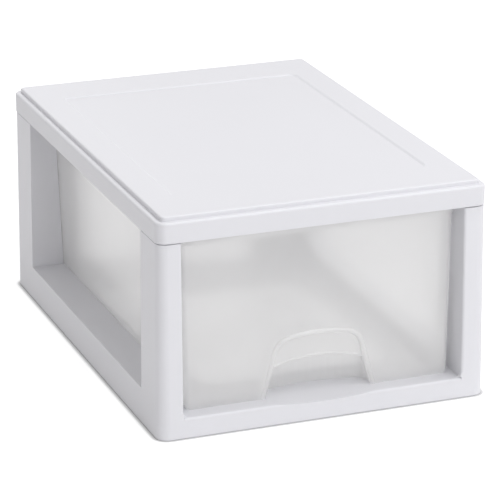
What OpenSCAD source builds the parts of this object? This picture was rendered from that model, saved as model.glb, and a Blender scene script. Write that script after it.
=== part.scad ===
// Stackable drawer box: a hollow-post frame, a clip-on top panel and a
// translucent drawer with a recessed finger pull. All sizes in millimetres.
// Origin: centre of the footprint, on the surface the box stands on.
// +Z is up and the drawer opens towards -Y.

/* [Overall size] */
// Width over the top panel's skirt
box_w = 260; // [230:1:320]
// Depth over the top panel's skirt, front to back
box_d = 368; // [320:1:440]
// Height from the foot to the raised field of the top panel
box_h = 171.5; // [150:0.5:260]
// Outer radius of the four upright corners
corner_r = 8; // [7.5:0.5:12]

/* [Top panel] */
// Height of the skirt
skirt_h = 15.7; // [13:0.1:20]
// Thickness of the skirt
skirt_t = 2.2; // [1.8:0.1:2.6]
// Radius along the top edge of the skirt
skirt_round = 2; // [0.5:0.1:2.5]
// How far the skirt stands out past the posts
overhang = 0.5; // [0.2:0.1:1]
// Height of the raised stacking field above the skirt's shoulder
step_h = 3.5; // [2.5:0.5:5]
// Width of the shoulder round the stacking field
step_in = 4.5; // [3.5:0.5:5]
// Radius along the edge of the stacking field
step_round = 1.4; // [0.5:0.1:2]
// Thickness of the panel
panel_t = 2.2; // [1.6:0.1:3]
// Width of the shallow recess in the panel
recess_w = 204; // [150:1:210]
// Depth of the shallow recess, front to back
recess_d = 274; // [200:1:290]
// How deep the recess is sunk
recess_drop = 1; // [0.5:0.1:1.5]
// Corner radius of the recess
recess_r = 6; // [4:0.5:12]
// Width of the sloped edge of the recess
recess_slope = 1.8; // [0.5:0.1:3]
// Ribs under the panel that run from side to side
panel_cross_ribs = 5; // [2:1:9]
// Ribs under the panel that run from front to back
panel_long_ribs = 3; // [1:1:5]
// Height of the ribs under the panel
panel_rib_h = 5; // [3:0.5:7]

/* [Frame] */
// Wall thickness of the frame's outside
frame_t = 2.4; // [2:0.1:3]
// How far the foot of each wall stands out past its top
flare = 1.5; // [0.5:0.1:2]
// Radius along the outer edge of the foot
foot_round = 1; // [0.3:0.1:1.5]
// Height of the deck that the drawer slides on
deck_z = 16; // [12:0.5:24]
// Thickness of the deck, the sills and the inner skins
skin_t = 2; // [1.6:0.1:2.6]
// Width of each front post seen from the side
front_post = 39; // [32:1:50]
// Width of each rear post seen from the side
rear_post = 45; // [36:1:56]
// Height of the side windows' sills
sill_z = 27.8; // [25:0.2:40]
// Clear width of the front opening
opening_w = 223; // [200:1:226]
// Radius of the front posts' inner upright edges
jamb_round = 2; // [1:0.5:6]
// Clear width of the opening in the back
back_open_w = 112; // [80:1:150]
// Deck left in front of the floor opening, from the outside face
deck_front = 57; // [45:1:80]
// Deck left behind the floor opening, from the outside face
deck_back = 85; // [50:1:110]
// Deck left beside the floor opening, from the drawer's guide wall
deck_side = 26.5; // [15:0.5:45]
// Corner radius of the floor opening
floor_open_r = 14; // [6:1:24]
// Depth of the flange that hangs round the floor opening
floor_flange = 8; // [5:0.5:9]
// Height of the rim that the top panel clips over
rim_h = 13.1; // [10:0.1:14]
// Thickness of the rim
rim_t = 2; // [1.6:0.1:2.4]
// Radius along the front rail's top edge
rail_round = 1.8; // [0.5:0.1:2]
// Radius of the fillets between the front rail and the posts
rail_fillet = 4.5; // [1:0.5:5]
// Width of the finger scoop in the front rail
scoop_w = 80; // [60:1:100]
// Depth of the finger scoop
scoop_drop = 2; // [1:0.2:3]

/* [Drawer] */
// Wall thickness of the drawer
drawer_t = 1.8; // [1.4:0.1:2]
// How much narrower each side is at the floor than at the rim
drawer_draft = 5.2; // [3:0.1:5.5]
// Radius of the drawer's upright corners at the rim
drawer_r = 9; // [8.5:0.5:12]
// Radius along the edge of the drawer's floor
floor_round = 3.4; // [1:0.1:3.5]
// How far the drawer's face sits behind the front of the frame
face_recess = 12.5; // [7:0.5:16]
// How deep the face wraps round the sides
face_wrap = 12; // [10:0.5:18]
// How much narrower each side of the face is at the floor than at the rim
face_draft = 1.7; // [0.5:0.1:2.5]
// How far the face stands out past the drawer's side at the rim
face_step = 0.4; // [0.2:0.1:0.8]
// Radius of the face's lower corners
face_corner = 5; // [3:0.5:8]
// Radius of the face's upright edges
face_round = 4; // [2.5:0.5:6]
// How far the rim stands out past the walls
lip_out = 3; // [2:0.1:4]
// Height of the rim's turned-down edge
lip_h = 5.5; // [4:0.1:8]
// Thickness of the rim
lip_t = 1.6; // [1.2:0.1:2]
// Radius along the rim's top edge
lip_round = 1.1; // [0.5:0.1:1.2]
// How far the drawer opens before its stops meet the frame
drawer_travel = 290; // [200:1:300]
// Height of the stops above the rim
stop_h = 5; // [3:0.5:6]
// Length of the stops
stop_len = 12; // [8:1:20]

/* [Finger pull] */
// Width of the pull at the drawer's lower edge
pull_w = 89; // [70:1:120]
// Height of the pull
pull_h = 48; // [40:1:60]
// Inward lean of the pull's sides, in degrees
pull_lean = 15; // [4:1:18]
// Radius of the pull's shoulders
pull_shoulder = 15; // [8:1:18]
// Radius of the pull's crown
pull_crown = 130; // [90:5:200]
// Depth of the pocket behind the face
pocket_depth = 21; // [18:0.5:30]
// Extra half width of the pocket over the pull at the face
pocket_ease = 1.5; // [0.5:0.1:3]
// Inward lean of the pocket's ends, in degrees
pocket_lean = 14; // [6:1:18]
// Radius of the pocket's rear corners
pocket_corner = 12; // [8:1:14]
// Radius of the pocket's bowed rear wall
pocket_bow = 150; // [100:5:250]
// How far the hood is sunk behind the face
hood_sink = 3; // [2:0.1:4]
// Height of the hood's lip at its middle
hood_lip = 29; // [26:0.5:36]
// Radius of the arched lip
hood_arch = 113; // [90:1:160]
// Thickness of the rolled lip
hood_roll = 2.6; // [2:0.1:3.4]
// Thickness of the round bead that runs along the pull
bead_w = 4.6; // [2:0.1:5]
// How far the bead stands out of the face
bead_out = 1.2; // [0.3:0.1:1.5]

/* [Clips] */
// Length of each clip
clip_len = 14; // [8:1:24]
// Height of each clip
clip_h = 2.4; // [1.6:0.1:3]
// How far each clip reaches into its slot
clip_reach = 1.6; // [1:0.1:2]
// Distance between neighbouring clips
clip_pitch = 110; // [80:1:130]

/* [Fits] */
// Gap between the skirt and the rim inside it
rim_gap = 0.3; // [0.2:0.05:0.5]
// Visible parting line between the skirt and the posts
parting_gap = 1; // [0.3:0.1:1.2]
// Gap where the panel rests on the rim
seat_gap = 0.2; // [0.1:0.05:0.3]
// Gap between the drawer's rim and the opening, each side
run_gap = 1; // [0.6:0.1:2]
// Gap between the drawer's side and its guide wall
guide_gap = 1.2; // [0.8:0.1:2]
// Gap between the drawer's floor and the deck
deck_gap = 0.3; // [0.2:0.05:0.5]
// Gap over the drawer's rim
head_gap = 1.8; // [1.5:0.1:4]
// Gap behind the closed drawer
back_gap = 10; // [8:0.5:16]
// Gap between the closed drawer's rim and the stops in the back opening
close_gap = 1; // [0.5:0.1:2]
// Gap round the raised stacking field of the box below
stack_gap = 0.4; // [0.2:0.1:1]
// Clearance round each clip in its slot
clip_gap = 0.5; // [0.3:0.1:1]

/* [Hidden] */
$fn = 64;
over = 1;                              // extra length of a cutter past a face
far = 2 * box_d;                       // longer than anything in the box
arc_steps = 12;                        // straight steps in each arc of an outline
foot_steps = 4;                        // straight steps in the foot's round edge

// upright corner centres, shared by the panel and the frame
cx = box_w / 2 - corner_r;
cy = box_d / 2 - corner_r;

// heights
shoulder_z = box_h - step_h;           // top of the skirt
skirt_z = shoulder_z - skirt_h;        // lower edge of the skirt
wall_z = skirt_z - parting_gap;        // top of the frame's outside walls
rim_z = skirt_z + rim_h;               // top of the clip-on rim
recess_z = box_h - recess_drop;        // floor of the shallow recess

// radii about the corner centres
post_r = corner_r - overhang;
rim_out = corner_r - skirt_t - rim_gap;
rim_in = rim_out - rim_t;
shoulder_under = rim_z + seat_gap;     // underside of the skirt's shoulder
foot_in = corner_r - step_in + stack_gap;

// plan positions of the frame
front_y = -(cy + post_r);              // front face at the top of the wall
back_y = -front_y;
jamb_y = front_y + front_post;         // front edge of the side windows
rear_jamb_y = back_y - rear_post;      // rear edge of the side windows
open_x = opening_w / 2;
wall_lean = atan(flare / wall_z);

// drawer
body_x = open_x - run_gap - lip_out;   // half width at the rim
body_bottom_x = body_x - drawer_draft;
drawer_z = deck_z + deck_gap;
drawer_top = skirt_z - head_gap;
drawer_h = drawer_top - drawer_z;
draft_rate = drawer_draft / drawer_h;
face_y = front_y + face_recess;
drawer_back = back_y - frame_t - back_gap - lip_out;
drawer_cx = body_x - drawer_r;
drawer_back_cy = drawer_back - drawer_r;
rim_mid_y = (face_y + drawer_back) / 2;
rim_cy = (drawer_back - face_y) / 2 - drawer_r;
lip_z = drawer_top - lip_h;
face_top_x = body_x + face_step;
face_bottom_x = body_x - face_draft;
face_lean = atan((face_top_x - face_bottom_x) / drawer_h);
tub_lean = atan(draft_rate);
tub_round = min(floor_round, drawer_r - drawer_draft - drawer_t / 10);

// guide walls run parallel to the drawer's leaning sides
guide_x = body_bottom_x + guide_gap;
guide_top_z = lip_z - head_gap;
guide_top_x = guide_x + (guide_top_z - deck_z) * draft_rate;

// floor opening in the deck
floor_x = guide_x - deck_side;
floor_front = front_y + deck_front;
floor_back = back_y - deck_back;

// finger pull: arcs and legs of its outline, measured from the drawer's floor
shoulder_up = shoulder_height(pull_w / 2, pull_h, pull_lean, pull_shoulder, pull_crown);
shoulder_x = pull_w / 2 - shoulder_up * tan(pull_lean) - pull_shoulder / cos(pull_lean);
crown_up = pull_h - pull_crown;
crown_turn = atan2(shoulder_up - crown_up, shoulder_x);
hood_y = face_y + hood_sink;           // front of the hood
bead_lap = 1;                          // how far the bead's lengths run into each other
bead_seat = 0.05;                      // how much thinner the ones inside are
hood_back = hood_y + drawer_t;         // back of the hood

// where the stops wait behind the front of the rim
stop_front = -(cy + rim_in) + drawer_travel + rim_gap;
clip_z = skirt_z + rim_h / 2;

// ---------------------------------------------------------------- helpers

// Carries a profile (x = distance out from the corner centres, y = height)
// round a rectangle with its corner centres at +-x0 and +-y0.
module ring(x0, y0) {
    for (q = [0 : 3])
        translate([q == 0 || q == 3 ? x0 : -x0, q < 2 ? y0 : -y0, 0])
            rotate([0, 0, 90 * q])
                rotate_extrude(angle = 90) children();
    for (s = [0, 180]) rotate([0, 0, s]) {
        translate([x0, y0, 0])
            rotate([90, 0, 0]) linear_extrude(2 * y0) children();
        rotate([0, 0, 90]) translate([y0, x0, 0])
            rotate([90, 0, 0]) linear_extrude(2 * x0) children();
    }
}

// A solid whose sections are rounded rectangles: the profile starts at x = 0
// and fills from z0 to z1 there.
module block(x0, y0, z0, z1) {
    ring(x0, y0) children();
    translate([-x0, -y0, z0]) cube([2 * x0, 2 * y0, z1 - z0]);
}

// Both sides of the box from one drawing of the right-hand side.
module both_sides() {
    children();
    mirror([1, 0, 0]) children();
}

// A box from its lowest and highest corners.
module span(low, high) {
    translate(low) cube(high - low);
}

// Rounded rectangle from straight pieces and true circles.
module rounded_rect(x0, x1, y0, y1, r) {
    translate([x0 + r, y0]) square([x1 - x0 - 2 * r, y1 - y0]);
    translate([x0, y0 + r]) square([x1 - x0, y1 - y0 - 2 * r]);
    for (x = [x0 + r, x1 - r], y = [y0 + r, y1 - r])
        translate([x, y]) circle(r);
}

// What is left of a square corner outside a round of radius r, as a cutter
// that runs along +Z; the corner is at the origin and the solid lies at +x +y.
module corner_cutter(r, length) {
    linear_extrude(length)
        polygon(concat([[-over, r], [-over, -over], [r, -over]],
                       arc([r, r], r, 270, 180, arc_steps)));
}

// Height of the shoulder centre of a tombstone outline: the shoulder circle
// touches the leaning leg and lies inside the crown circle.
function shoulder_height(half, h, lean, rs, rc) =
    let (t = tan(lean), a = 1 + t * t, b = half - rs / cos(lean), c = h - rc,
         k = t * b + c, q = b * b + c * c - (rc - rs) * (rc - rs))
    (k + sqrt(k * k - a * q)) / a;

// Points along an arc, from one angle to another: at the ends of equal steps,
// or at their middles.
function arc(centre, r, from, to, steps, middles = false) =
    [for (i = [middles ? 0.5 : 0 : steps]) let (a = from + (to - from) * i / steps)
        centre + r * [cos(a), sin(a)]];

// Tombstone outline on the x axis: leaning legs, round shoulders and a bowed
// crown, all tangent. grow moves the whole outline outwards by that distance.
module tombstone(half, h, lean, rs, rc, grow = 0) {
    sz = shoulder_height(half, h, lean, rs, rc);
    sx = half - sz * tan(lean) - rs / cos(lean);
    turn = atan2(sz + rc - h, sx);
    foot = half + grow / cos(lean) + over * tan(lean);
    right = arc([sx, sz], rs + grow, lean, turn, arc_steps, true);
    crown = arc([0, h - rc], rc + grow, turn, 180 - turn, arc_steps, true);
    left = arc([-sx, sz], rs + grow, 180 - turn, 180 - lean, arc_steps, true);
    polygon(concat([[-foot, -over], [foot, -over]], right, crown, left));
}

// ---------------------------------------------------------------- top panel

// Cross-section through the edge of the panel, from the skirt to the field.
module panel_edge() {
    step_r = corner_r - step_in;
    difference() {
        union() {
            translate([0, skirt_z]) square([corner_r, skirt_h - skirt_round]);
            translate([0, skirt_z]) square([corner_r - skirt_round, skirt_h]);
            translate([corner_r - skirt_round, shoulder_z - skirt_round])
                circle(skirt_round);
            translate([0, skirt_z])
                square([step_r, box_h - step_round - skirt_z]);
            translate([0, skirt_z]) square([step_r - step_round, box_h - skirt_z]);
            translate([step_r - step_round, box_h - step_round])
                circle(step_round);
        }
        translate([-over, skirt_z - over])
            square([corner_r - skirt_t + over, shoulder_under - skirt_z + over]);
        translate([-over, skirt_z - over])
            square([step_r - skirt_t + over, box_h - panel_t - skirt_z + over]);
    }
}

module panel_ribs() {
    rib_x = recess_w / 2 - recess_r;
    rib_y = recess_d / 2 - recess_r;
    low = recess_z - panel_t - panel_rib_h;
    high = recess_z - panel_t / 2;
    for (i = [1 : panel_cross_ribs]) {
        y = -rib_y + 2 * rib_y * (i - 0.5) / panel_cross_ribs;
        span([-rib_x, y - skin_t / 2, low], [rib_x, y + skin_t / 2, high]);
    }
    for (i = [1 : panel_long_ribs]) {
        x = -rib_x + 2 * rib_x * (i - 0.5) / panel_long_ribs;
        span([x - skin_t / 2, -rib_y, low], [x + skin_t / 2, rib_y, high]);
    }
}

// Where the clips sit along each side: along x on the ends, along y on the sides.
function clip_rows(half) =
    let (n = floor((half - clip_len) / clip_pitch)) [for (i = [-n : n]) i * clip_pitch];

// Places its children at every clip, with +x pointing out of the box and the
// origin on the line of the corner centres.
module at_clips() {
    for (side = [0, 180]) rotate([0, 0, side]) {
        for (y = clip_rows(cy)) translate([cx, y, 0]) children();
        for (x = clip_rows(cx))
            rotate([0, 0, 90]) translate([cy, x, 0]) children();
    }
}

module top_panel() {
    color([0.92, 0.92, 0.94]) {
        difference() {
            union() {
                ring(cx, cy) panel_edge();
                span([-cx, -cy, box_h - panel_t], [cx, cy, box_h]);
                // the panel keeps its thickness under the recess
                span([-recess_w / 2, -recess_d / 2, recess_z - panel_t],
                     [recess_w / 2, recess_d / 2, box_h - panel_t / 2]);
                panel_ribs();
                // clips on the inside of the skirt, each with a lead-in below
                at_clips() rotate([90, 0, 0])
                    translate([0, 0, -clip_len / 2]) linear_extrude(clip_len)
                        polygon([[corner_r - skirt_t + over / 2, clip_z - clip_h],
                                 [corner_r - skirt_t, clip_z - clip_h],
                                 [rim_out - clip_reach, clip_z],
                                 [corner_r - skirt_t, clip_z + clip_h / 2],
                                 [corner_r - skirt_t + over / 2, clip_z + clip_h / 2]]);
            }
            block(recess_w / 2 - recess_r, recess_d / 2 - recess_r,
                  recess_z, box_h + over)
                polygon([[0, recess_z], [recess_r - recess_slope, recess_z],
                         [recess_r, box_h], [recess_r, box_h + over],
                         [0, box_h + over]]);
        }
    }
}

// ---------------------------------------------------------------- frame

// The outside wall leans in from the foot, which has a small round edge.
module wall_profile() {
    foot_r = post_r + flare;
    polygon(concat(arc([foot_r - foot_round, foot_round], foot_round, 270, 360, foot_steps),
                   [[post_r, wall_z], [post_r - frame_t, wall_z],
                    [foot_r - frame_t, 0]]));
}

// The rim that the top panel clips over, and the ledge that carries it.
module rim_profile() {
    translate([rim_in, wall_z - rim_t]) square([rim_t, rim_z - wall_z + rim_t]);
    translate([rim_in, wall_z - rim_t]) square([post_r - frame_t / 2 - rim_in, rim_t]);
}

// Flat foot that stands on the shoulder of the box below.
module foot_profile() {
    translate([foot_in, 0]) square([post_r + flare - frame_t / 2 - foot_in, skin_t]);
}

// Everything inside the frame is trimmed to the middle of the outside wall.
module inside_of_wall() {
    mid = post_r - frame_t / 2;
    block(cx, cy, 0, rim_z)
        polygon([[0, 0], [mid + flare, 0], [mid, wall_z],
                 [rim_out, wall_z], [rim_out, rim_z], [0, rim_z]]);
}

// Deck, one hollow channel under each window and the floor opening's flange.
module deck() {
    difference() {
        union() {
            span([-guide_x - skin_t, front_y - flare, deck_z - skin_t],
                 [guide_x + skin_t, back_y + flare, deck_z]);
            span([-open_x - skin_t, front_y - flare, deck_z - skin_t],
                 [open_x + skin_t, jamb_y, deck_z]);
            // thicker under the finger scoop
            span([-scoop_w / 2, front_y - flare, deck_z - skin_t - scoop_drop],
                 [scoop_w / 2, floor_front, deck_z]);
            floor_flange_block();
        }
        translate([0, 0, deck_z - floor_flange - over])
            linear_extrude(floor_flange + 2 * over)
                rounded_rect(-floor_x, floor_x, floor_front, floor_back, floor_open_r);
    }
    both_sides() {
        span([guide_x, jamb_y - skin_t, sill_z - skin_t],
             [box_w, rear_jamb_y + skin_t, sill_z]);
        span([guide_x, jamb_y - skin_t, deck_z - skin_t],
             [guide_x + skin_t, rear_jamb_y + skin_t, sill_z]);
    }
}

module floor_flange_block() {
    translate([0, 0, deck_z - floor_flange]) linear_extrude(floor_flange)
        rounded_rect(-floor_x - skin_t, floor_x + skin_t, floor_front - skin_t,
                     floor_back + skin_t, floor_open_r + skin_t);
}

// Stiffening ribs under the deck, from the flange out to the walls.
module deck_ribs() {
    low = deck_z - floor_flange;
    high = deck_z - skin_t / 2;
    for (x = [-floor_x * 2 / 3, 0, floor_x * 2 / 3]) {
        span([x - skin_t / 2, front_y - flare, low],
             [x + skin_t / 2, floor_front - skin_t / 2, high]);
        span([x - skin_t / 2, floor_back + skin_t / 2, low],
             [x + skin_t / 2, back_y + flare, high]);
    }
    rib_y = (floor_front + floor_back) / 2;
    rib_step = (floor_back - floor_front) / 3;
    both_sides() for (y = [rib_y - rib_step, rib_y, rib_y + rib_step])
        span([floor_x + skin_t / 2, y - skin_t / 2, low],
             [guide_x + skin_t / 2, y + skin_t / 2, high]);
}

// Front posts: an inner skin, a jamb wall and a solid nose for the rounded edge.
module front_posts() {
    both_sides() {
        span([open_x, front_y - flare, 0], [open_x + skin_t, jamb_y, rim_z]);
        span([open_x, jamb_y - skin_t, 0], [box_w, jamb_y, rim_z]);
        span([open_x, front_y - flare, 0],
             [open_x + jamb_round, front_y + jamb_round, wall_z]);
        // fillet between the post and the rail
        translate([open_x, front_y + frame_t, deck_z]) rotate([90, 0, 0])
            linear_extrude(frame_t + flare) difference() {
                translate([-rail_fillet, -over]) square([rail_fillet + over, rail_fillet + over]);
                translate([-rail_fillet, rail_fillet]) circle(rail_fillet);
            }
    }
}

// Rear posts: the inner skin leans with the drawer's side and steps out at the
// drawer's rim.
module rear_posts() {
    skin = [[guide_x, deck_z - skin_t], [guide_top_x, guide_top_z],
            [open_x, guide_top_z], [open_x, rim_z], [open_x + skin_t, rim_z],
            [open_x + skin_t, guide_top_z - skin_t],
            [guide_top_x + skin_t, guide_top_z - skin_t],
            [guide_x + skin_t, deck_z - skin_t]];
    jamb = concat([for (i = [0 : 3]) skin[i]],
                  [[box_w, rim_z], [box_w, deck_z - skin_t]]);
    both_sides() {
        translate([0, back_y + flare, 0]) rotate([90, 0, 0])
            linear_extrude(rear_post + flare) polygon(skin);
        translate([0, rear_jamb_y + skin_t, 0]) rotate([90, 0, 0])
            linear_extrude(skin_t) polygon(jamb);
    }
    // edges of the back opening turn in and stop the closing drawer
    both_sides()
        span([back_open_w / 2, drawer_back + lip_out + close_gap, deck_z - skin_t],
             [back_open_w / 2 + skin_t, back_y + flare, wall_z]);
}

module frame_cutouts() {
    // side windows, up to the skirt
    span([-box_w, jamb_y, sill_z], [-guide_x - skin_t, rear_jamb_y, skirt_z]);
    span([guide_x + skin_t, jamb_y, sill_z], [box_w, rear_jamb_y, skirt_z]);
    // front opening above the rail, with its filleted lower corners
    translate([0, jamb_y, 0]) rotate([90, 0, 0]) linear_extrude(far) {
        translate([-open_x, deck_z + rail_fillet])
            square([opening_w, skirt_z - deck_z - rail_fillet]);
        translate([rail_fillet - open_x, deck_z])
            square([opening_w - 2 * rail_fillet, rail_fillet + over]);
        for (x = [rail_fillet - open_x, open_x - rail_fillet])
            translate([x, deck_z + rail_fillet]) circle(rail_fillet);
    }
    // back opening
    span([-back_open_w / 2, drawer_back, deck_z], [back_open_w / 2, far, skirt_z]);
    // room for the raised field of the box below
    translate([0, 0, -over]) linear_extrude(step_h + stack_gap + over)
        rounded_rect(-cx - foot_in, cx + foot_in, -cy - foot_in, cy + foot_in, foot_in);
    // rounded upright edges of the front posts, parallel to the leaning face
    jamb_z = deck_z + rail_fillet;
    both_sides() translate([open_x, front_y - flare, 0]) rotate([-wall_lean, 0, 0])
        translate([0, 0, jamb_z / cos(wall_lean)])
            corner_cutter(jamb_round, (wall_z - jamb_z) / cos(wall_lean));
    // rounded top edge of the front rail
    rail_y = front_y - flare * (1 - deck_z / wall_z);
    translate([-open_x, rail_y, deck_z]) rotate([0, 90, 0])
        corner_cutter(rail_round, opening_w);
    finger_scoop();
}

// Shallow round scoop under the pull: deepest in the rail's front, and level
// with the deck where the pocket's rear wall stands.
module finger_scoop() {
    length = face_recess + pocket_depth;
    scoop_r = (scoop_w * scoop_w / 4 + scoop_drop * scoop_drop) / (2 * scoop_drop);
    translate([0, front_y + length, deck_z])
        rotate([90 + atan(scoop_drop / length), 0, 0])
            translate([0, 0, -skin_t]) linear_extrude(length + skin_t + 2 * flare)
                intersection() {
                    translate([0, scoop_r]) circle(scoop_r, $fn = 360);
                    translate([-scoop_w, -over]) square([2 * scoop_w, scoop_drop + 2 * over]);
                }
}

module frame() {
    color([0.88, 0.89, 0.91]) difference() {
        union() {
            ring(cx, cy) wall_profile();
            ring(cx, cy) rim_profile();
            ring(cx, cy) foot_profile();
            intersection() {
                inside_of_wall();
                union() {
                    deck();
                    deck_ribs();
                    front_posts();
                    rear_posts();
                }
            }
        }
        frame_cutouts();
        // slots for the panel's clips
        at_clips() span([rim_in - over, -clip_len / 2 - clip_gap, clip_z - clip_h - clip_gap],
                        [rim_out + over, clip_len / 2 + clip_gap, clip_z + clip_h / 2 + clip_gap]);
    }
}

// ---------------------------------------------------------------- drawer

// Profile of the drawer's wall from a corner centre outwards: a leaning side
// and a floor, with a round edge that touches both. inset is 0 for the outside
// and the wall thickness for the inside.
module tub_profile(inset) {
    low = drawer_z + inset;
    r = max(tub_round - inset, inset / 2);
    x_round = drawer_r - inset - (drawer_top - low - r) * draft_rate - r / cos(tub_lean);
    polygon([[0, low], [x_round, low],
             [x_round + r * cos(tub_lean), low + r - r * sin(tub_lean)],
             [drawer_r - inset, drawer_top], [0, drawer_top]]);
    intersection() {
        translate([x_round, low + r]) circle(r);
        translate([x_round, low]) square(2 * r);
    }
}

// The drawer's tub as a solid, from its back to the plane front.
module tub_solid(inset, front) {
    translate([0, drawer_back_cy, 0]) {
        rotate([90, 0, 0]) linear_extrude(drawer_back_cy - front) {
            both_sides() translate([drawer_cx, 0]) tub_profile(inset);
            translate([-drawer_cx, drawer_z + inset])
                square([2 * drawer_cx, drawer_h - inset]);
        }
        translate([-drawer_cx, 0, 0]) rotate([90, 0, 90])
            linear_extrude(2 * drawer_cx) tub_profile(inset);
        translate([drawer_cx, 0, 0])
            rotate_extrude(angle = 90) tub_profile(inset);
        translate([-drawer_cx, 0, 0]) rotate([0, 0, 90])
            rotate_extrude(angle = 90) tub_profile(inset);
    }
}

// The face as a solid with leaning sides and round lower corners.
module face_solid(inset, depth) {
    r = face_corner - inset;
    low = drawer_z + inset;
    half = face_bottom_x - inset;
    x_round = half + (r + inset) * tan(face_lean) - r / cos(face_lean);
    translate([0, face_y + depth, 0]) rotate([90, 0, 0]) linear_extrude(depth - inset) {
        both_sides() {
            polygon([[0, low], [x_round, low],
                     [x_round + r * cos(face_lean), low + r - r * sin(face_lean)],
                     [face_top_x - inset, drawer_top], [0, drawer_top]]);
            translate([x_round, low + r]) circle(r);
        }
    }
}

// Rounds off the face's two upright edges, which lean with its sides.
module face_edges() {
    both_sides() translate([-face_bottom_x, face_y, drawer_z - over])
        rotate([0, -face_lean, 0])
            corner_cutter(face_round, drawer_h + over - lip_t / 2);
}

// Turned-down rim round the top of the drawer.
module lip_profile() {
    out = drawer_r + lip_out;
    translate([drawer_r - drawer_t, drawer_top - lip_t])
        square([lip_out + drawer_t - lip_round, lip_t]);
    translate([out - lip_t, lip_z]) square([lip_t, lip_h - lip_round]);
    translate([out - lip_round, drawer_top - lip_round]) circle(lip_round);
}

// Outline of the pull drawn on the face, with its foot on the drawer's floor.
module pull_outline(grow) {
    tombstone(pull_w / 2, pull_h, pull_lean, pull_shoulder, pull_crown, grow);
}

// Carries an outline drawn on the face from y0 back to y1.
module through_face(y0, y1) {
    translate([0, y1, drawer_z]) rotate([90, 0, 0]) linear_extrude(y1 - y0) children();
}

// The pocket behind the face: the pull's outline from the front meets a bowed
// outline with round corners from above.
module pocket(grow, front, foot) {
    intersection() {
        through_face(front, face_y + pocket_depth + 2 * drawer_t) pull_outline(grow);
        translate([0, face_y, foot]) linear_extrude(pull_h + 2 * drawer_t + drawer_z - foot)
            tombstone(pull_w / 2 + pocket_ease, pocket_depth, pocket_lean, pocket_corner,
                      pocket_bow, grow);
    }
}

// Round tube along an arc of the face: centre height, radius and angles.
module face_arc(x, up, radius, from, turn, tube) {
    translate([x, 0, drawer_z + up]) rotate([90, -from, 0])
        rotate_extrude(angle = turn, $fn = 180) translate([radius, 0]) circle(tube, $fn = 32);
}

// Bead that follows the pull: two shoulders, with the crown and the two legs
// ending a little inside them.
module pull_bead() {
    tube = bead_w / 2;
    lap = 180 / PI * bead_lap / pull_crown;
    leg_up = shoulder_up + pull_shoulder * sin(pull_lean);
    difference() {
        translate([0, face_y - bead_out + tube, 0]) {
            face_arc(0, crown_up, pull_crown, crown_turn - lap,
                     2 * (90 - crown_turn + lap), tube - bead_seat);
            both_sides() {
                face_arc(shoulder_x, shoulder_up, pull_shoulder, pull_lean,
                         crown_turn - pull_lean, tube);
                translate([pull_w / 2 - leg_up * tan(pull_lean), 0, drawer_z + leg_up])
                    rotate([0, 180 - pull_lean, 0]) translate([0, 0, -bead_lap])
                        cylinder(r = tube - bead_seat, $fn = 32,
                                 h = leg_up / cos(pull_lean) + bead_lap + over);
            }
        }
        span([-pull_w, face_y - bead_w, drawer_z - 2 * over - bead_w],
             [pull_w, face_y + bead_w, drawer_z]);
    }
}

// Rolled lower lip of the hood.
module hood_lip_roll() {
    half_turn = asin(pull_w / 2 / hood_arch);
    intersection() {
        translate([0, hood_y + drawer_t / 2, 0])
            face_arc(0, hood_lip - hood_arch, hood_arch, 90 - half_turn, 2 * half_turn,
                     hood_roll / 2);
        through_face(hood_y - hood_roll, hood_back + hood_roll) pull_outline(drawer_t / 2);
    }
}

// Lugs on the rim that meet the front of the frame when the drawer is open.
module drawer_stops() {
    both_sides() translate([body_x - drawer_t, 0, 0]) rotate([90, 0, 90])
        linear_extrude(drawer_t + lip_out / 2)
            polygon([[stop_front, drawer_top - lip_t / 2],
                     [stop_front, drawer_top + stop_h],
                     [stop_front + stop_len / 3, drawer_top + stop_h],
                     [stop_front + stop_len, drawer_top - lip_t / 2]]);
}

// Tub and face with their walls, before the pull is cut in.
module drawer_shell() {
    difference() {
        union() {
            tub_solid(0, face_y);
            face_solid(0, face_wrap);
        }
        tub_solid(drawer_t, face_y + drawer_t);
        difference() {
            face_solid(drawer_t, face_wrap + over);
            tub_solid(0, face_y);
        }
        face_edges();
    }
}

module drawer() {
    color([0.9, 0.92, 0.95, 0.6]) {
        difference() {
            union() {
                drawer_shell();
                translate([0, rim_mid_y, 0]) ring(drawer_cx, rim_cy) lip_profile();
                drawer_stops();
                pocket(drawer_t, face_y, drawer_z);
            }
            // pocket behind the hood, open through the drawer's floor
            pocket(0, hood_back, drawer_z - over);
            // the hood's front is sunk behind the face
            through_face(face_y - over, hood_y) pull_outline(0);
            // the opening under the hood's lip
            through_face(face_y - over, hood_back + over) intersection() {
                pull_outline(0);
                translate([0, hood_lip - hood_arch]) circle(hood_arch, $fn = 180);
            }
        }
        pull_bead();
        hood_lip_roll();
    }
}

top_panel();
frame();
drawer();
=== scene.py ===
# %% [markdown]
# # A stackable drawer box
#
# The real object is three plastic mouldings: a white frame, a white top panel
# that clips over it, and a frosted drawer that slides in the frame. Their exact
# solids come from the CAD part, so this lesson models no piece of the box. It
# gives the solids their looks: the satin white plastic, the milky drawer that
# lets light through, and a quiet white studio round them.

# %% Load the fixed frame
import math

import bpy
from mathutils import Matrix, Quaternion, Vector

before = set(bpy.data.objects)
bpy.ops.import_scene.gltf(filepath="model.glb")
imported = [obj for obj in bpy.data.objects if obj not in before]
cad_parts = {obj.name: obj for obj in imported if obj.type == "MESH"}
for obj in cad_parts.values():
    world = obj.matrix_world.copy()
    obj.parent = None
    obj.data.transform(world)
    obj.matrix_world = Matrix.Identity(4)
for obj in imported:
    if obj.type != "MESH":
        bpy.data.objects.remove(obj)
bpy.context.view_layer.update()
print("nodes:", sorted(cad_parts))

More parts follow.
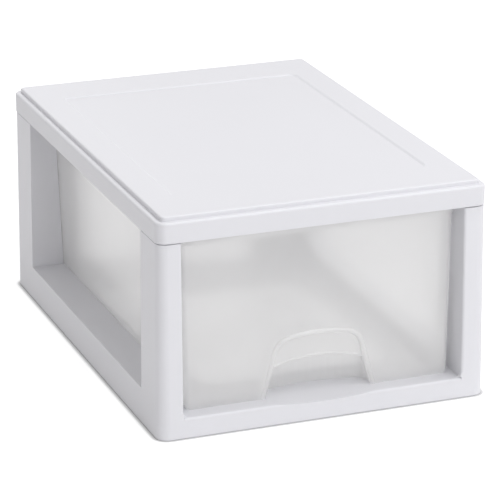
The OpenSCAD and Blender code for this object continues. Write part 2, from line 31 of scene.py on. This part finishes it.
# %% [markdown]
# ## Camera
#
# The picture was taken with a long lens from the front left and a little above,
# so the upright edges stay almost parallel. A camera could be aimed at a point
# and its picture shifted in the lens. Here it looks along one direction and is
# slid sideways and up in its own plane, which frames the box the same way with
# fewer settings. The roll of a tenth of a degree levels it as in the picture.

# %% Camera
VIEW_AZIMUTH = math.radians(-20.61)
VIEW_ELEVATION = math.radians(19.41)
VIEW_DISTANCE = 2.2686
SLIDE_RIGHT, SLIDE_UP = 0.0092, 0.0681
ROLL = math.radians(0.10)
LENS_MM, SENSOR_MM = 202.9, 36.0
NEAREST, FARTHEST = 0.1, 50.0

back = Vector((
    math.sin(VIEW_AZIMUTH) * math.cos(VIEW_ELEVATION),
    -math.cos(VIEW_AZIMUTH) * math.cos(VIEW_ELEVATION),
    math.sin(VIEW_ELEVATION),
))
right = Vector((math.cos(VIEW_AZIMUTH), math.sin(VIEW_AZIMUTH), 0.0))
up = back.cross(right)
camera = bpy.data.objects.new("camera", bpy.data.cameras.new("camera"))
bpy.context.scene.collection.objects.link(camera)
camera.data.lens = LENS_MM
camera.data.sensor_width = SENSOR_MM
camera.data.clip_start, camera.data.clip_end = NEAREST, FARTHEST
camera.location = back * VIEW_DISTANCE + right * SLIDE_RIGHT + up * SLIDE_UP
camera.rotation_mode = "QUATERNION"
upright = (-back).to_track_quat("-Z", "Y")
camera.rotation_quaternion = Quaternion(back, -ROLL) @ upright
bpy.context.scene.camera = camera
print("camera at", tuple(round(v, 3) for v in camera.location))


# %% [markdown]
# ## Node helpers
#
# The world, the floor and the two plastics are all node trees. Nodes could be
# placed one by one, but the same few steps come back each time: make a node and
# set its sockets, do some arithmetic, mix two shaders. Each step gets a helper.

# %% Node helpers
def nodes_of(owner):
    """The empty node tree of a material or world."""
    owner.use_nodes = True
    owner.node_tree.nodes.clear()
    return owner.node_tree


def add(tree, kind, **sockets):
    """A node of that kind, with input sockets set by name (spaces as _)."""
    node = tree.nodes.new(kind)
    for name, value in sockets.items():
        node.inputs[name.replace("_", " ")].default_value = value
    return node


def plug(tree, value, socket):
    """Links an output socket into socket, or sets socket to a plain number."""
    if isinstance(value, bpy.types.NodeSocket):
        tree.links.new(value, socket)
    else:
        socket.default_value = value


def maths(tree, operation, *values):
    """The result of a Math node on those values, as an output socket."""
    node = add(tree, "ShaderNodeMath")
    node.operation = operation
    for value, socket in zip(values, node.inputs):
        plug(tree, value, socket)
    return node.outputs[0]


def blend(tree, share, first, second):
    """A mix of two shaders: all first where share is 0, all second where it is 1."""
    node = add(tree, "ShaderNodeMixShader")
    for value, socket in zip((share, first, second), node.inputs):
        plug(tree, value, socket)
    return node.outputs[0]


def show(tree, surface, kind="ShaderNodeOutputMaterial"):
    """Makes surface what the material, or the world, shows."""
    tree.links.new(surface, add(tree, kind).inputs[0])


def seen_rays(tree):
    """1 for a camera, glossy or transmission ray, and 0 for light that bounces."""
    path = add(tree, "ShaderNodeLightPath")
    first = maths(tree, "MAXIMUM", path.outputs["Is Camera Ray"], path.outputs["Is Glossy Ray"])
    return maths(tree, "MAXIMUM", first, path.outputs["Is Transmission Ray"])


def even(level):
    """A colour with the same red, green and blue."""
    return (level, level, level, 1.0)


print("helpers: nodes_of, add, plug, maths, blend, show, seen_rays, even")

# %% [markdown]
# ## Studio
#
# A white product on white needs soft light that still tells its faces apart.
# The world alone could light it, but then every face gets the same grey. Here
# one large soft lamp stands in front, a smaller one hangs above, and a weak low
# one behind shines through the open back into the drawer. A pale world fills
# the shadows. What the camera sees of the world, straight, mirrored or through
# plastic, is plain white, and that white throws no diffuse light on the box.

# %% World
WORLD_FILL = 0.5
FILL_COLOUR = (1.0, 0.985, 0.99, 1.0)

world = bpy.data.worlds.new("white_studio")
bpy.context.scene.world = world
tree = nodes_of(world)
fill = add(tree, "ShaderNodeBackground", Color=FILL_COLOUR, Strength=WORLD_FILL)
white = add(tree, "ShaderNodeBackground", Color=even(1.0), Strength=1.0)
surroundings = blend(tree, seen_rays(tree), fill.outputs[0], white.outputs[0])
show(tree, surroundings, "ShaderNodeOutputWorld")
print("world fill:", WORLD_FILL)


# %% Lamps
LAMP_AIM = (0.0, 0.0, 0.1)


def soft_lamp(name, position, size, watts, colour=(1.0, 1.0, 1.0)):
    """A square area lamp at position, turned to face the box."""
    data = bpy.data.lights.new(name, "AREA")
    data.shape = "SQUARE"
    data.size = size
    data.energy = watts
    data.color = colour
    lamp = bpy.data.objects.new(name, data)
    bpy.context.scene.collection.objects.link(lamp)
    lamp.location = position
    lamp.rotation_mode = "QUATERNION"
    aim = Vector(LAMP_AIM) - Vector(position)
    lamp.rotation_quaternion = aim.to_track_quat("-Z", "Y")
    print(name, "at", position, "with", watts, "W")


soft_lamp("lamp_above", (0.5, -0.35, 1.85), 1.2, 15.5, (0.975, 0.98, 1.0))
soft_lamp("lamp_front_right", (0.9, -2.8, 1.35), 2.8, 31.0, (0.97, 0.98, 1.0))
soft_lamp("lamp_back", (-0.2, 2.2, 0.4), 1.6, 7.0)

# %% [markdown]
# ## Floor
#
# The box stands on a white sweep with hardly an edge to its shadow. More light
# could make the floor white, but it would burn out the white plastic too. So
# the floor that the camera sees glows by itself at three quarters of white, and
# the lamps add the rest, which leaves room for a shadow. Light that bounces
# meets a plain pale floor instead. Close to the foot of the box an Ambient
# Occlusion node dims the glow, which paints the thin dark contact line: a
# painted shadow on the floor, not one that the lamps cast.

# %% Floor
FLOOR_HALF = 6.0
FLOOR_OWN, FLOOR_LIT, FLOOR_BOUNCE = 0.75, 0.5, 0.95
# Reach and steepness of the painted contact shadow that the AO node draws on the floor's glow.
CONTACT_SHADOW_REACH, CONTACT_SHADOW_POWER = 0.004, 3.0

floor_mesh = bpy.data.meshes.new("floor")
floor_mesh.from_pydata(
    [(x * FLOOR_HALF, y * FLOOR_HALF, 0.0) for x, y in ((-1, -1), (1, -1), (1, 1), (-1, 1))],
    [],
    [(0, 1, 2, 3)],
)
floor = bpy.data.objects.new("floor", floor_mesh)
bpy.context.scene.collection.objects.link(floor)
print("floor reaches", FLOOR_HALF, "m each way")

# %% Floor paint
floor_paint = bpy.data.materials.new("studio_floor")
floor_mesh.materials.append(floor_paint)
tree = nodes_of(floor_paint)
plain = add(tree, "ShaderNodeBsdfDiffuse", Color=even(FLOOR_BOUNCE))
lit = add(tree, "ShaderNodeBsdfDiffuse", Color=even(FLOOR_LIT))
# Painted shadow: the AO node dims the floor's own glow near the box, which draws a dark contact
# line that no lamp casts.
contact = add(tree, "ShaderNodeAmbientOcclusion", Distance=CONTACT_SHADOW_REACH)
open_share = maths(tree, "POWER", contact.outputs["AO"], CONTACT_SHADOW_POWER)
glow = add(tree, "ShaderNodeEmission", Color=even(1.0))
tree.links.new(maths(tree, "MULTIPLY", open_share, FLOOR_OWN), glow.inputs["Strength"])
both = add(tree, "ShaderNodeAddShader")
tree.links.new(lit.outputs[0], both.inputs[0])
tree.links.new(glow.outputs[0], both.inputs[1])
show(tree, blend(tree, seen_rays(tree), plain.outputs[0], both.outputs[0]))
print("floor glow:", FLOOR_OWN, "and contact reach:", CONTACT_SHADOW_REACH, "m")

# %% [markdown]
# ## Moulded skin
#
# Injection moulded plastic is never quite flat: the steel of the mould leaves a
# fine even grain, the wall sinks a little as it cools, and the shade drifts by
# a hair. An image texture could hold this, but it would need unwrapping. Two
# noise patterns on Object coordinates need none, and they stay on the drawer
# when it slides. They are one shader node group, which both plastics use with
# their own values.

# %% Moulded skin group
MIDDLE_OF_NOISE = 0.5


def moulded_skin():
    """Group: shade (colour factor), roughness and heights of a moulded surface."""
    group = bpy.data.node_groups.new("moulded_skin", "ShaderNodeTree")
    for name, value in (
        ("Grain Scale", 900.0), ("Ripple Scale", 9.0), ("Shade Drift", 0.02),
        ("Roughness", 0.35), ("Roughness Drift", 0.05),
    ):
        socket = group.interface.new_socket(
            name=name, in_out="INPUT", socket_type="NodeSocketFloat")
        socket.default_value = value
    for name in ("Shade", "Roughness", "Grain Height", "Ripple Height"):
        group.interface.new_socket(
            name=name, in_out="OUTPUT", socket_type="NodeSocketFloat")
    inputs = group.nodes.new("NodeGroupInput")
    outputs = group.nodes.new("NodeGroupOutput")
    place = add(group, "ShaderNodeTexCoord")
    grain = add(group, "ShaderNodeTexNoise", Detail=2.0, Roughness=0.6)
    ripple = add(group, "ShaderNodeTexNoise", Detail=1.0, Roughness=0.4)
    for noise, name in ((grain, "Grain Scale"), (ripple, "Ripple Scale")):
        group.links.new(place.outputs["Object"], noise.inputs["Vector"])
        group.links.new(inputs.outputs[name], noise.inputs["Scale"])

    def drift(amount, base):
        """base + amount x (ripple - its middle)."""
        centred = maths(group, "SUBTRACT", ripple.outputs[0], MIDDLE_OF_NOISE)
        return maths(group, "MULTIPLY_ADD", centred, amount, base)

    for name, value in (
        ("Shade", drift(inputs.outputs["Shade Drift"], 1.0)),
        ("Roughness", drift(inputs.outputs["Roughness Drift"], inputs.outputs["Roughness"])),
        ("Grain Height", grain.outputs[0]),
        ("Ripple Height", ripple.outputs[0]),
    ):
        group.links.new(value, outputs.inputs[name])
    return group


skin_group = moulded_skin()
print("group sockets:", [s.name for s in skin_group.interface.items_tree])


# %% [markdown]
# ## White plastic
#
# The frame and the top panel are white polypropylene: a pale, faintly cool
# colour under a soft gloss. A plain Principled shader would give both, but look
# like paint. The skin group varies its shade and roughness a little and bends
# its normals, coarsely for the sink of the wall and finely for the grain.

# %% White plastic
POLYPROPYLENE_IOR = 1.49


def moulded_plastic(name, colour, roughness, grain_mm, ripple_mm, scales):
    """A Principled plastic whose shade, roughness and bump come from the skin group.

    Returns the material, not yet shown, its shader, and the colour and normal
    that feed it."""
    plastic = bpy.data.materials.new(name)
    tree = nodes_of(plastic)
    skin = tree.nodes.new("ShaderNodeGroup")
    skin.node_tree = skin_group
    skin.inputs["Roughness"].default_value = roughness
    for socket, value in scales.items():
        skin.inputs[socket].default_value = value
    factor = tree.nodes.new("ShaderNodeCombineColor")
    for channel in ("Red", "Green", "Blue"):
        tree.links.new(skin.outputs["Shade"], factor.inputs[channel])
    tint = add(tree, "ShaderNodeMix")
    tint.data_type = "RGBA"
    tint.blend_type = "MULTIPLY"
    tint.inputs["Factor"].default_value = 1.0
    tint.inputs["A"].default_value = colour
    tree.links.new(factor.outputs[0], tint.inputs["B"])
    coarse = add(tree, "ShaderNodeBump", Strength=1.0, Distance=ripple_mm / 1000)
    fine = add(tree, "ShaderNodeBump", Strength=1.0, Distance=grain_mm / 1000)
    tree.links.new(skin.outputs["Ripple Height"], coarse.inputs["Height"])
    tree.links.new(skin.outputs["Grain Height"], fine.inputs["Height"])
    tree.links.new(coarse.outputs[0], fine.inputs["Normal"])
    shader = add(tree, "ShaderNodeBsdfPrincipled", IOR=POLYPROPYLENE_IOR)
    tree.links.new(tint.outputs["Result"], shader.inputs["Base Color"])
    tree.links.new(skin.outputs["Roughness"], shader.inputs["Roughness"])
    tree.links.new(fine.outputs[0], shader.inputs["Normal"])
    return plastic, shader, tint.outputs["Result"], fine.outputs[0]


white_plastic, shader, colour, normal = moulded_plastic(
    "white_plastic", colour=(0.77, 0.77, 0.797, 1.0), roughness=0.46,
    grain_mm=0.02, ripple_mm=0.1,
    scales={"Grain Scale": 1400.0, "Ripple Scale": 14.0},
)
show(white_plastic.node_tree, shader.outputs[0])
print("made", white_plastic.name)

# %% [markdown]
# ## Frosted plastic
#
# The drawer is the same plastic without pigment, so its wall is milky. A volume
# inside the wall would be true to that, but it is slow and noisy. Here a wall
# scatters once, where light goes in. One share passes nearly in line (CLEAR),
# one is spread out behind the wall (MILK), and the rest comes back. Where light
# leaves the wall it meets the back of a face, which is clear, so no wall counts
# twice. A thin wall hardly shifts what lies behind it, because its two faces
# bend light by turns. Only one of them bends it here, so BEND is a low index.
# The coat mirrors more than the real plastic does. It lifts the face, where a
# paler colour would burn out to white once the drawer is pulled into the light.

# %% Frosted plastic
CLEAR, MILK = 0.5, 0.38
BEND = 1.12
COAT_IOR = 2.0
FROSTED_ROUGHNESS = 0.24


def milky_wall(plastic, shader, colour, normal):
    """Makes the plastic's wall scatter light going in and stay clear going out."""
    tree = plastic.node_tree
    shader.inputs["IOR"].default_value = BEND
    shader.inputs["Transmission Weight"].default_value = CLEAR
    shader.inputs["Coat Weight"].default_value = 1.0
    shader.inputs["Coat IOR"].default_value = COAT_IOR
    shader.inputs["Coat Roughness"].default_value = FROSTED_ROUGHNESS
    scatter = add(tree, "ShaderNodeBsdfTranslucent")
    tree.links.new(colour, scatter.inputs["Color"])
    tree.links.new(normal, scatter.inputs["Normal"])
    entering = blend(tree, MILK, shader.outputs[0], scatter.outputs[0])
    leaving = add(tree, "ShaderNodeBsdfTransparent").outputs[0]
    from_behind = add(tree, "ShaderNodeNewGeometry").outputs["Backfacing"]
    show(tree, blend(tree, from_behind, entering, leaving))


frosted_plastic, shader, colour, normal = moulded_plastic(
    "frosted_plastic", colour=(0.94, 0.937, 0.933, 1.0), roughness=FROSTED_ROUGHNESS,
    grain_mm=0.01, ripple_mm=0.0,
    scales={"Grain Scale": 1800.0, "Ripple Scale": 18.0},
)
milky_wall(frosted_plastic, shader, colour, normal)
print("made", frosted_plastic.name, "with clear share", CLEAR, "and milk share", MILK)


# %% [markdown]
# ## The three mouldings
#
# The frame is one moulding with four hollow posts, side windows over deep
# sills, and an open back. The top panel has a skirt that clips over the frame's
# rim, and a raised field that the next box sits round. The drawer has its
# finger pull moulded into its face. Extra trim could be modelled over them, but
# the solids already have their edges, ribs and rims, so each CAD node is shown
# as it is and only gets its plastic.

# %% The three mouldings
def paint(node, material):
    """Gives the whole CAD node one material."""
    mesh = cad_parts[node].data
    mesh.materials.clear()
    mesh.materials.append(material)
    print(node, "->", material.name)


paint("top_panel", white_plastic)
paint("frame", white_plastic)
paint("drawer", frosted_plastic)

# %% [markdown]
# ## Colour
#
# A filmic view would grey the whites and soften the colours. The Standard view
# shows a colour about as it is written, which suits a plain product picture.

# %% Colour management and the end
bpy.context.scene.view_settings.view_transform = "Standard"
